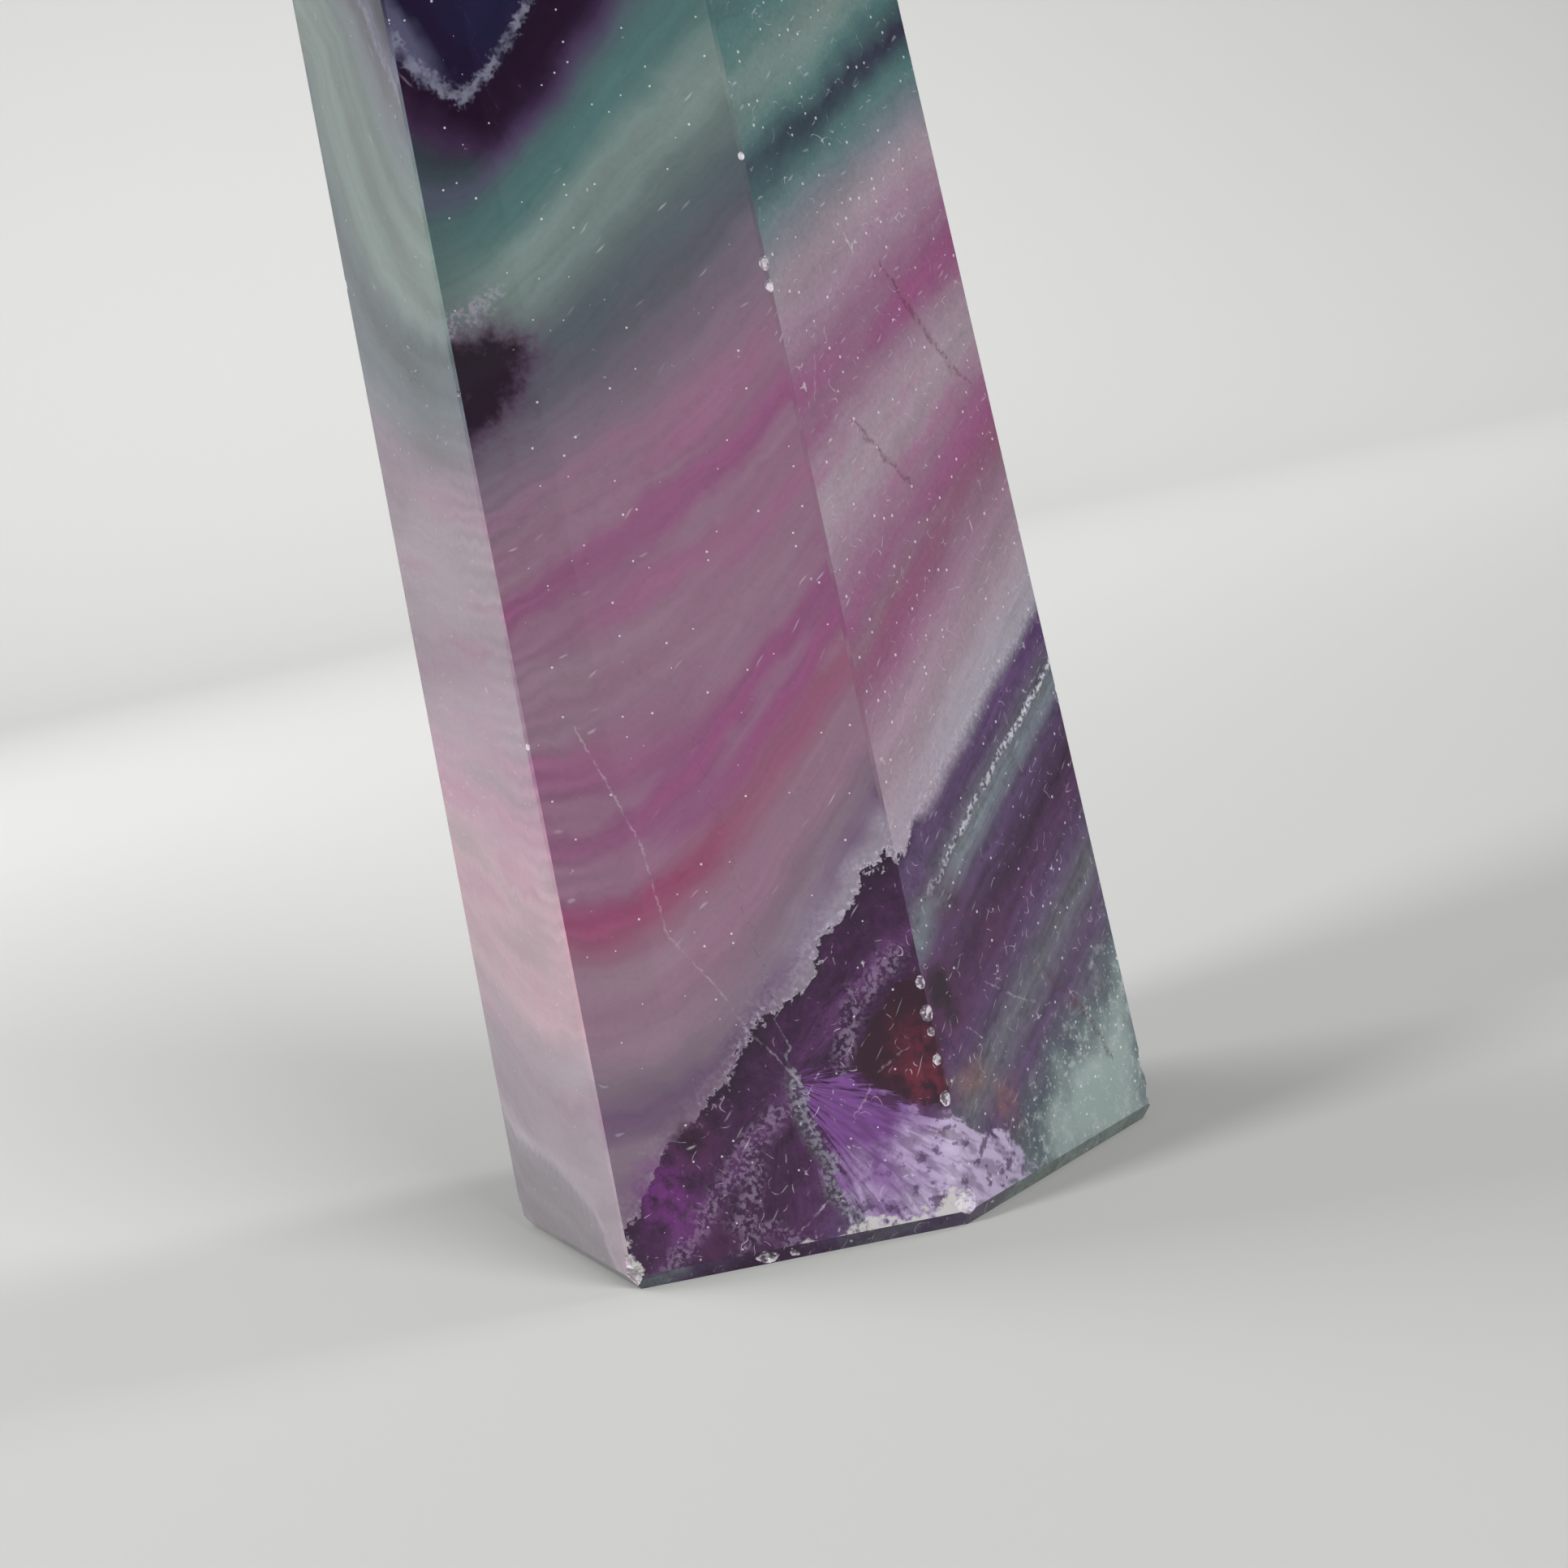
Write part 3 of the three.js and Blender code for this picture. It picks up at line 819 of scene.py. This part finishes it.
class Graph:
    """Short names for the shader nodes this material uses."""

    def __init__(self, tree):
        self.tree = tree
        self.trios = {}

    def node(self, kind, inputs=(), **settings):
        """A new node of a kind. Its inputs are numbers, colours or other nodes' outputs, by socket."""
        made = self.tree.nodes.new(kind)
        for key, value in settings.items():
            setattr(made, key, value)
        for socket, value in dict(inputs).items():
            if isinstance(value, bpy.types.NodeSocket):
                self.tree.links.new(value, made.inputs[socket])
            else:
                made.inputs[socket].default_value = value
        return made

    def math(self, operation, a, b=0.0):
        """One step of arithmetic."""
        return self.node("ShaderNodeMath", {0: a, 1: b}, operation=operation).outputs[0]

    def blend(self, share, a, b):
        """A number part of the way from a to b."""
        return self.node("ShaderNodeMix", {0: share, 2: a, 3: b}, data_type="FLOAT").outputs[0]

    def scaled(self, place, factor):
        """A place with all its numbers multiplied."""
        made = self.node("ShaderNodeVectorMath", {0: place, "Scale": factor}, operation="SCALE")
        return made.outputs["Vector"]

    def combine(self, x, y, z):
        """A place from three numbers."""
        return self.node("ShaderNodeCombineXYZ", {0: x, 1: y, 2: z}).outputs[0]

    def stored(self, name):
        """A number kept at the face corners."""
        number, part = divmod(STORED.index(name), 3)
        if number not in self.trios:
            trio = self.node("ShaderNodeAttribute", attribute_name=trio_name(number))
            self.trios[number] = self.node("ShaderNodeSeparateXYZ", {0: trio.outputs["Vector"]})
        return self.trios[number].outputs[part]

    def stored_colour(self, name):
        """A colour kept at the face corners."""
        return self.node("ShaderNodeAttribute", attribute_name=name).outputs["Color"]

    def ease(self, value, low, high):
        """0 at low, 1 at high, smooth between; low may be the larger."""
        inputs = {"Value": value, "From Min": low, "From Max": high}
        return self.node("ShaderNodeMapRange", inputs, interpolation_type="SMOOTHSTEP").outputs[0]

    def noise(self, where, scale, detail, space="3D"):
        """Noise about nought."""
        inputs = {"Vector": where, "Scale": scale, "Detail": detail, "Roughness": NOISE_ROUGHNESS}
        made = self.node("ShaderNodeTexNoise", inputs, noise_dimensions=space)
        return self.math("SUBTRACT", made.outputs["Fac"], 0.5)

    def cells(self, where, scale):
        """Scattered flat cells, with the distance from each one's middle."""
        inputs = {"Vector": where, "Scale": scale}
        return self.node("ShaderNodeTexVoronoi", inputs, voronoi_dimensions="2D")

    def chain(self, operation, values):
        """One number from several, two at a time."""
        return functools.reduce(lambda a, b: self.math(operation, a, b), values)

    def either(self, *masks):
        """The largest of some masks."""
        return self.chain("MAXIMUM", masks)

    def both(self, *masks):
        """The product of some masks."""
        return self.chain("MULTIPLY", masks)

    def total(self, *values):
        """The sum of some values."""
        return self.chain("ADD", values)

    def near(self, value, at, reach, core=0.0):
        """1 where a value is within core of a level, 0 past its reach."""
        away = self.math("ABSOLUTE", self.math("SUBTRACT", value, at))
        return self.ease(away, reach, core)

    def channel(self, colour, index):
        """One number of a colour."""
        return self.node("ShaderNodeSeparateColor", {0: colour}).outputs[index]

    def mix(self, share, a, b, kind="MIX"):
        """A colour part of the way from a to b."""
        inputs = {0: share, 6: a, 7: b}
        return self.node("ShaderNodeMix", inputs, data_type="RGBA", blend_type=kind).outputs[2]


FLUORITE_IOR = 1.434
POLISH = 0.07
STONE_TINT = (0.78, 0.72, 0.82, 1)  # linear colour that the clear stone lets through
ABSORPTION_PER_METRE = 60.0
RIBS_PER_MM = 1.7           # fine ribs beside the edge between left and front
RIB_CONTRAST = 0.075


class Crystal(Graph):
    """The fields that several of the tower's markings share. The functions below call it c."""

    def __init__(self, tree):
        super().__init__(tree)
        self.place = self.scaled(self.node("ShaderNodeTexCoord").outputs["Object"], 1 / MM)
        self.height = self.node("ShaderNodeSeparateXYZ", {0: self.place}).outputs[2]
        self.zone = self.stored("zone")
        self.w = self.stored("w")
        self.busy = self.stored("busy")
        self.mottle = self.noise(self.place, 1.7, 3.0)
        self.crumbs = self.noise(self.place, 5.5, 1.0)
        self.cloud = self.ease(self.crumbs, -0.1, 0.12)
        self.ragged = self.stored("ragged")
        billow = self.math("SUBTRACT", 0.09, self.math("ABSOLUTE", self.mottle))
        uneven = self.total(self.both(self.crumbs, 0.5), self.both(billow, 3.2))
        self.depth = self.total(self.stored("root"), self.both(uneven, self.ragged))
        calm = self.math("SUBTRACT", 1.0, self.ragged)
        self.in_root = self.ease(self.depth, self.both(calm, -0.35), self.total(self.both(calm, 0.9), 0.15))
        self.reach = self.stored("fan_reach")
        spokes = self.combine(self.both(self.stored("fan_turn"), 16.0), self.both(self.reach, 0.7), 0.0)
        self.fibre = self.noise(spokes, 1.0, 2.0, "2D")

    def paint(self, colour, share, new):
        """Lays a colour over another where share is 1."""
        return self.mix(share, colour, screen(new) if isinstance(new, tuple) else new)


def with_root(c, colour):
    """The dark root under the zones, with white crumbs along its top and a line of crystals in it."""
    frost = c.blend(c.ease(c.w, -9.0, -3.0), 0.4, 1.0)
    colour = c.paint(colour, c.both(c.ease(c.depth, -1.6, 0.0), c.cloud, frost, 0.34), (168, 160, 178))
    colour = c.paint(colour, c.both(c.ease(c.depth, -0.35, -0.02), c.cloud, frost, 0.5), (200, 194, 212))
    colour = c.mix(c.in_root, colour, c.stored_colour("root_colour"))
    crystals = c.near(c.total(c.depth, c.both(c.mottle, 0.5)), 2.6, 0.26, 0.06)
    crystals = c.both(crystals, c.cloud, c.ease(c.ragged, 0.9, 0.3), 0.8)
    return c.paint(colour, crystals, (208, 208, 220))


def with_tones(c, colour):
    """Lights and darks in the layers of the zones and the root, and fine ribs beside the left edge."""
    height = c.blend(c.in_root, c.both(c.zone, 3.2), c.both(c.depth, 2.2))
    fine = c.noise(c.combine(height, c.both(c.w, 0.15), 0.0), 1.0, 2.0, "2D")
    on_front = c.math("SUBTRACT", 1.0, c.busy)
    root_tone = c.total(c.both(fine, 1.15), c.both(c.mottle, c.total(c.both(c.ragged, 0.35), 0.95)),
                        c.both(c.fibre, c.ease(c.reach, 7.0, 3.5), on_front))
    ribs = c.math("SINE", c.total(c.both(c.zone, RIBS_PER_MM * 2 * math.pi), c.both(c.mottle, 2.5)))
    beside_edge = c.both(c.near(c.w, -12.9, 4.2, 0.6), c.near(c.zone, 22.0, 9.5, 6.5))
    ribs = c.both(ribs, beside_edge, RIB_CONTRAST)
    body_tone = c.total(c.both(fine, 0.2), c.both(c.mottle, 0.2), ribs)
    grain = c.both(c.crumbs, c.blend(c.busy, 0.14, 0.3))
    tone = c.total(c.blend(c.in_root, body_tone, root_tone), grain, 1.0)
    return c.mix(1.0, colour, c.combine(tone, tone, tone), "MULTIPLY")


def with_lace(c, colour):
    """The ragged pale line inside the darkest zone."""
    lace = c.near(c.total(c.zone, c.both(c.crumbs, 0.9)), 42.2, 0.42, 0.08)
    return c.paint(colour, c.both(lace, c.ease(c.mottle, -0.2, 0.15), 0.75), (134, 136, 154))


def with_murk(c, colour):
    """Nearly black blotches and frosty veils."""
    murk = c.total(c.stored("murk"), c.both(c.mottle, 0.9), c.both(c.crumbs, 0.25))
    dark = c.mix(c.ease(murk, 0.35, 0.95), screen((86, 44, 82)), screen((36, 16, 34)))
    colour = c.paint(colour, c.both(c.ease(murk, 0.0, 0.95), 0.92), dark)
    veil = c.both(c.ease(c.total(c.stored("veil"), c.both(c.mottle, 1.5)), 0.65, 0.05), c.cloud)
    return c.paint(colour, c.both(veil, 0.42), (146, 128, 154)), veil


def with_wedge(c, colour):
    """The dark wedge at the front edge, then its red glow, the rusty patch and the violet ones."""
    wedge = c.ease(c.total(c.stored("wedge"), c.both(c.crumbs, 0.6)), -0.1, 0.2)
    colour = c.paint(colour, c.both(wedge, 0.92), (42, 18, 32))
    patch = c.both(c.stored("patch"), c.ease(c.mottle, -0.2, 0.12))
    return c.paint(colour, patch, c.stored_colour("patch_colour"))


def with_fan(c, colour):
    """The fibrous fan and the pale crust along its left side."""
    edge = c.total(c.stored("fan"), c.both(c.fibre, 2.4), c.both(c.crumbs, 0.5))
    tone = c.total(c.reach, c.both(c.stored("lumps"), 4.0), c.both(c.mottle, 3.0))
    fan = c.mix(c.ease(tone, 2.8, 7.8), screen((116, 70, 136)), screen((196, 180, 212)))
    fan = c.mix(c.ease(c.fibre, -0.15, 0.12), c.mix(0.5, fan, screen((74, 44, 84))), fan)
    spots = c.both(c.ease(c.mottle, -0.04, -0.15), c.ease(c.reach, 3.5, 6.0), 0.8)
    fan = c.paint(fan, spots, (74, 56, 88))
    colour = c.paint(colour, c.both(c.ease(edge, -0.1, 0.35), 0.95), fan)
    crust = c.total(c.stored("crust"), c.both(c.crumbs, 0.9))
    crust = c.both(c.ease(crust, -0.15, 0.05), c.ease(crust, 0.8, 0.25), 0.7)
    return c.paint(colour, crust, c.mix(c.cloud, screen((66, 58, 72)), screen((130, 132, 140))))


def with_glass(c, colour):
    """The clear corner at the bottom right, with cloudy patches in it. Its pale green is partly the stone's
    own tint and partly painted light, standing for the bright floor and wall seen through the clear stone.
    """
    depth = c.total(c.stored("glass"), c.both(c.mottle, 1.0))
    glass = c.ease(depth, -1.2, 0.9)
    # partly painted light: paler deeper into the corner, standing for the bright floor and wall seen through
    # it
    clear = c.mix(c.ease(depth, -0.2, 2.1), screen((96, 108, 122)), screen((192, 212, 208)))
    clear = c.paint(clear, c.both(c.ease(c.mottle, 0.02, 0.24), 0.75), (216, 228, 226))
    clear = c.paint(clear, c.both(c.ease(c.crumbs, 0.12, 0.2), 0.6), (236, 242, 242))
    return c.mix(glass, colour, clear), glass


def with_cracks(c, colour):
    """Hairlines, pale and dark."""
    pale = c.near(c.total(c.stored("pale_crack"), c.both(c.crumbs, 0.2)), 0.0, 0.06, 0.01)
    pale = c.both(pale, c.ease(c.stored("pale_crack_far"), 0.4, 0.25), c.ease(c.mottle, -0.12, 0.12), 0.3)
    colour = c.paint(colour, pale, (205, 196, 206))
    dark = c.near(c.total(c.stored("dark_crack"), c.both(c.mottle, 0.9)), 0.0, 0.2, 0.02)
    dark = c.both(dark, c.ease(c.stored("dark_crack_far"), 0.6, 0.4), c.ease(c.crumbs, -0.16, 0.06), 0.5)
    return c.paint(colour, dark, (96, 48, 56))


def with_glints_and_flaws(c, colour, glass):
    """White specks that are painted glints, short scratches along the layers, and curled flaws."""
    dots = c.cells(c.combine(c.w, c.height, 0.0), 1.9)
    rarity = c.blend(c.busy, 0.84, 0.7)
    size = c.both(c.ease(c.channel(dots.outputs["Color"], 0), rarity, 1.0), c.blend(c.busy, 0.1, 0.13))
    glint_speck = c.ease(c.math("SUBTRACT", dots.outputs["Distance"], size), 0.0, -0.04)
    dashes = c.cells(c.combine(c.both(c.w, 0.9), c.both(c.zone, 3.6), 0.0), 1.0)
    chosen = c.ease(c.channel(dashes.outputs["Color"], 1), c.blend(c.busy, 0.95, 0.82), 1.0)
    dash = c.both(c.ease(dashes.outputs["Distance"], 0.22, 0.06), chosen)
    curl = c.near(c.noise(c.place, 1.5, 0.0), 0.0, c.blend(glass, 0.013, 0.022), 0.003)
    curl = c.both(curl, c.ease(c.mottle, 0.04, 0.14))
    curl = c.both(curl, c.either(c.both(c.either(c.in_root, c.busy), 0.75), glass))
    # the specks are painted glints; the dashes and curls are flaws in the stone
    white = c.either(c.both(glint_speck, 0.6), c.both(dash, 0.32), c.both(curl, 0.7))
    return c.paint(colour, white, (224, 220, 226)), glint_speck


def with_damage(c, colour):
    """Pale crusts at the foot, the bevel under the sides, chips and the sawn foot. The chips' white is
    partly the broken stone's own frosting and partly painted glints.
    """
    crust = c.ease(c.total(c.stored("pale"), c.both(c.mottle, 2.4)), 0.5, 0.8)
    colour = c.paint(colour, c.both(crust, 0.85), (206, 204, 200))
    colour = c.paint(colour, c.both(c.stored("bevel"), 0.8), (212, 226, 226))
    # chips painted white: partly the broken stone's frosting, partly painted glints
    broken = c.ease(c.total(c.crumbs, c.mottle), -0.08, 0.1)
    broken = c.blend(broken, 0.1, 0.85)
    colour = c.paint(colour, c.both(c.stored("scar"), broken), (226, 219, 227))
    return c.paint(colour, c.both(c.stored("under"), 0.25), (190, 184, 190))


def fluorite():
    """The one material of the tower."""
    material = bpy.data.materials.new("fluorite")
    material.use_nodes = True
    material.node_tree.nodes.clear()
    c = Crystal(material.node_tree)
    colour = with_lace(c, c.stored_colour("zone_colour"))
    colour = with_root(c, colour)
    colour = with_tones(c, colour)
    colour, veil = with_murk(c, colour)
    colour = with_wedge(c, colour)
    colour = with_fan(c, colour)
    colour, glass = with_glass(c, colour)
    colour = with_cracks(c, colour)
    colour, glint_speck = with_glints_and_flaws(c, colour, glass)
    colour = with_damage(c, colour)

    scar = c.stored("scar")
    # the painted glint specks are also made less clear
    frosted = c.either(scar, veil, glint_speck, c.both(c.stored("bevel"), 0.8))
    clear = c.blend(c.in_root, c.stored("clear"), 0.22)
    clear = c.blend(glass, clear, 0.5)
    clear = c.blend(frosted, clear, 0.1)
    rough = c.total(c.both(scar, 0.35), c.both(c.stored("under"), 0.3), POLISH)

    surface = {"Base Color": colour, "Roughness": rough, "Transmission Weight": clear, "IOR": FLUORITE_IOR}
    shader = c.node("ShaderNodeBsdfPrincipled", surface)
    inside = {"Color": STONE_TINT, "Density": ABSORPTION_PER_METRE}
    volume = c.node("ShaderNodeVolumeAbsorption", inside)
    c.node("ShaderNodeOutputMaterial", {"Surface": shader.outputs[0], "Volume": volume.outputs[0]})
    return material


# ---------------- floor, lights and camera

FLOOR_RADIUS = 0.55
WALL_CURVE = 0.35
WALL_HEIGHT = 1.1
CURVE_STEPS = 16
FLOOR_TURNS = 96


def plain(name, colour, roughness):
    """A plain material."""
    material = bpy.data.materials.new(name)
    material.use_nodes = True
    shader = material.node_tree.nodes["Principled BSDF"]
    shader.inputs["Base Color"].default_value = screen(colour)
    shader.inputs["Roughness"].default_value = roughness
    return material


def built_floor():
    """A round floor that sweeps up into a wall on every side."""
    profile = [(FLOOR_RADIUS * 0.5, 0.0), (FLOOR_RADIUS, 0.0)]
    for i in range(1, CURVE_STEPS + 1):
        a = i / CURVE_STEPS * math.pi / 2
        profile.append((FLOOR_RADIUS + WALL_CURVE * math.sin(a), WALL_CURVE * (1 - math.cos(a))))
    profile.append((FLOOR_RADIUS + WALL_CURVE, WALL_HEIGHT))
    turns = [j / FLOOR_TURNS * 2 * math.pi for j in range(FLOOR_TURNS)]
    verts = [(0.0, 0.0, 0.0)] + [(r * math.cos(a), r * math.sin(a), h) for r, h in profile for a in turns]
    faces = [(0, 1 + j, 1 + (j + 1) % FLOOR_TURNS) for j in range(FLOOR_TURNS)]
    for first in range(1, len(verts) - FLOOR_TURNS, FLOOR_TURNS):
        for j in range(FLOOR_TURNS):
            a, b = first + j, first + (j + 1) % FLOOR_TURNS
            faces.append((a, a + FLOOR_TURNS, b + FLOOR_TURNS, b))
    mesh = bpy.data.meshes.new("floor")
    mesh.from_pydata(verts, [], faces)
    mesh.polygons.foreach_set("use_smooth", [True] * len(mesh.polygons))
    mesh.materials.append(plain("pale floor", (212, 212, 210), 0.9))
    floor = added("floor", mesh)


def soft_light(name, place, aim, size, power, spread=180.0):
    """A square softbox: its side and place in metres, power in watts and spread in degrees."""
    data = bpy.data.lights.new(name, "AREA")
    data.shape = "SQUARE"
    data.size = size
    data.energy = power
    data.spread = math.radians(spread)
    light = added(name, data)
    light.location = place
    light.rotation_mode = "QUATERNION"
    light.rotation_quaternion = (Vector(aim) - Vector(place)).to_track_quat("-Z", "Y")
    return light


CAMERA_AZIMUTH = 6.832      # degrees round from the front, to the right
CAMERA_DISTANCE = 112.135   # millimetres from the column's axis
CAMERA_HEIGHT = 29.61
CAMERA_PITCH = 6.955        # degrees down
CAMERA_YAW = 0.703
CAMERA_ROLL = -11.705
CAMERA_LENS = 65.22
SENSOR = 36.0


def built_camera():
    """The camera at the photographer's place."""
    around, yaw, pitch, roll = (math.radians(v) for v in
                                (CAMERA_AZIMUTH, CAMERA_YAW, CAMERA_PITCH, CAMERA_ROLL))
    heading = yaw - around
    level = math.cos(pitch)
    ahead = Vector((math.sin(heading) * level, math.cos(heading) * level, -math.sin(pitch)))
    right = ahead.cross(Vector((0, 0, 1))).normalized()
    up = right.cross(ahead)
    turned_right = right * math.cos(roll) + up * math.sin(roll)
    turned_up = -right * math.sin(roll) + up * math.cos(roll)
    data = bpy.data.cameras.new("camera")
    data.sensor_width = SENSOR
    data.lens = CAMERA_LENS
    data.clip_start = 0.005
    data.clip_end = 10.0
    camera = added("camera", data)
    place = Vector((math.sin(around), -math.cos(around), 0)) * CAMERA_DISTANCE
    place.z = CAMERA_HEIGHT
    basis = Matrix((turned_right, turned_up, -ahead)).transposed()
    camera.matrix_world = Matrix.Translation(place * MM) @ basis.to_4x4()
    bpy.context.scene.camera = camera


def lit_scene():
    """Softboxes, light thrown back by the floor before the tower, a pale world and short light paths."""
    soft_light("wall wash", (0.5, 0.2, 0.7), (-0.42, 0.76, 0.1), 0.4, 3.6, 90.0)
    soft_light("floor wash", (-0.34, 0.16, 0.26), (-0.15, 0.14, 0.0), 0.25, 0.9)
    soft_light("front", (0.32, -0.42, 0.2), (0.0, 0.0, 0.035), 0.25, 0.41, 60.0)
    soft_light("left", (-0.5, -0.33, 0.28), (0.0, 0.0, 0.02), 0.2, 0.29, 60.0)
    bounce = soft_light("floor bounce", (0.0, -0.1325, 0.00005), (0.0, -0.1325, 1.0), 0.24, 0.12)
    bounce.visible_camera = bounce.visible_glossy = bounce.visible_transmission = False
    world = bpy.data.worlds.new("world")
    world.use_nodes = True
    world.node_tree.nodes["Background"].inputs["Color"].default_value = (0.92, 0.94, 1.0, 1)
    world.node_tree.nodes["Background"].inputs["Strength"].default_value = 0.24
    bpy.context.scene.world = world
    bpy.context.scene.view_settings.view_transform = "Standard"
    light_paths = bpy.context.scene.cycles
    light_paths.max_bounces = 4
    light_paths.diffuse_bounces = 0
    light_paths.use_light_tree = False


tower = built_tower()
tower.data.materials.append(fluorite())
built_floor()
built_camera()
lit_scene()
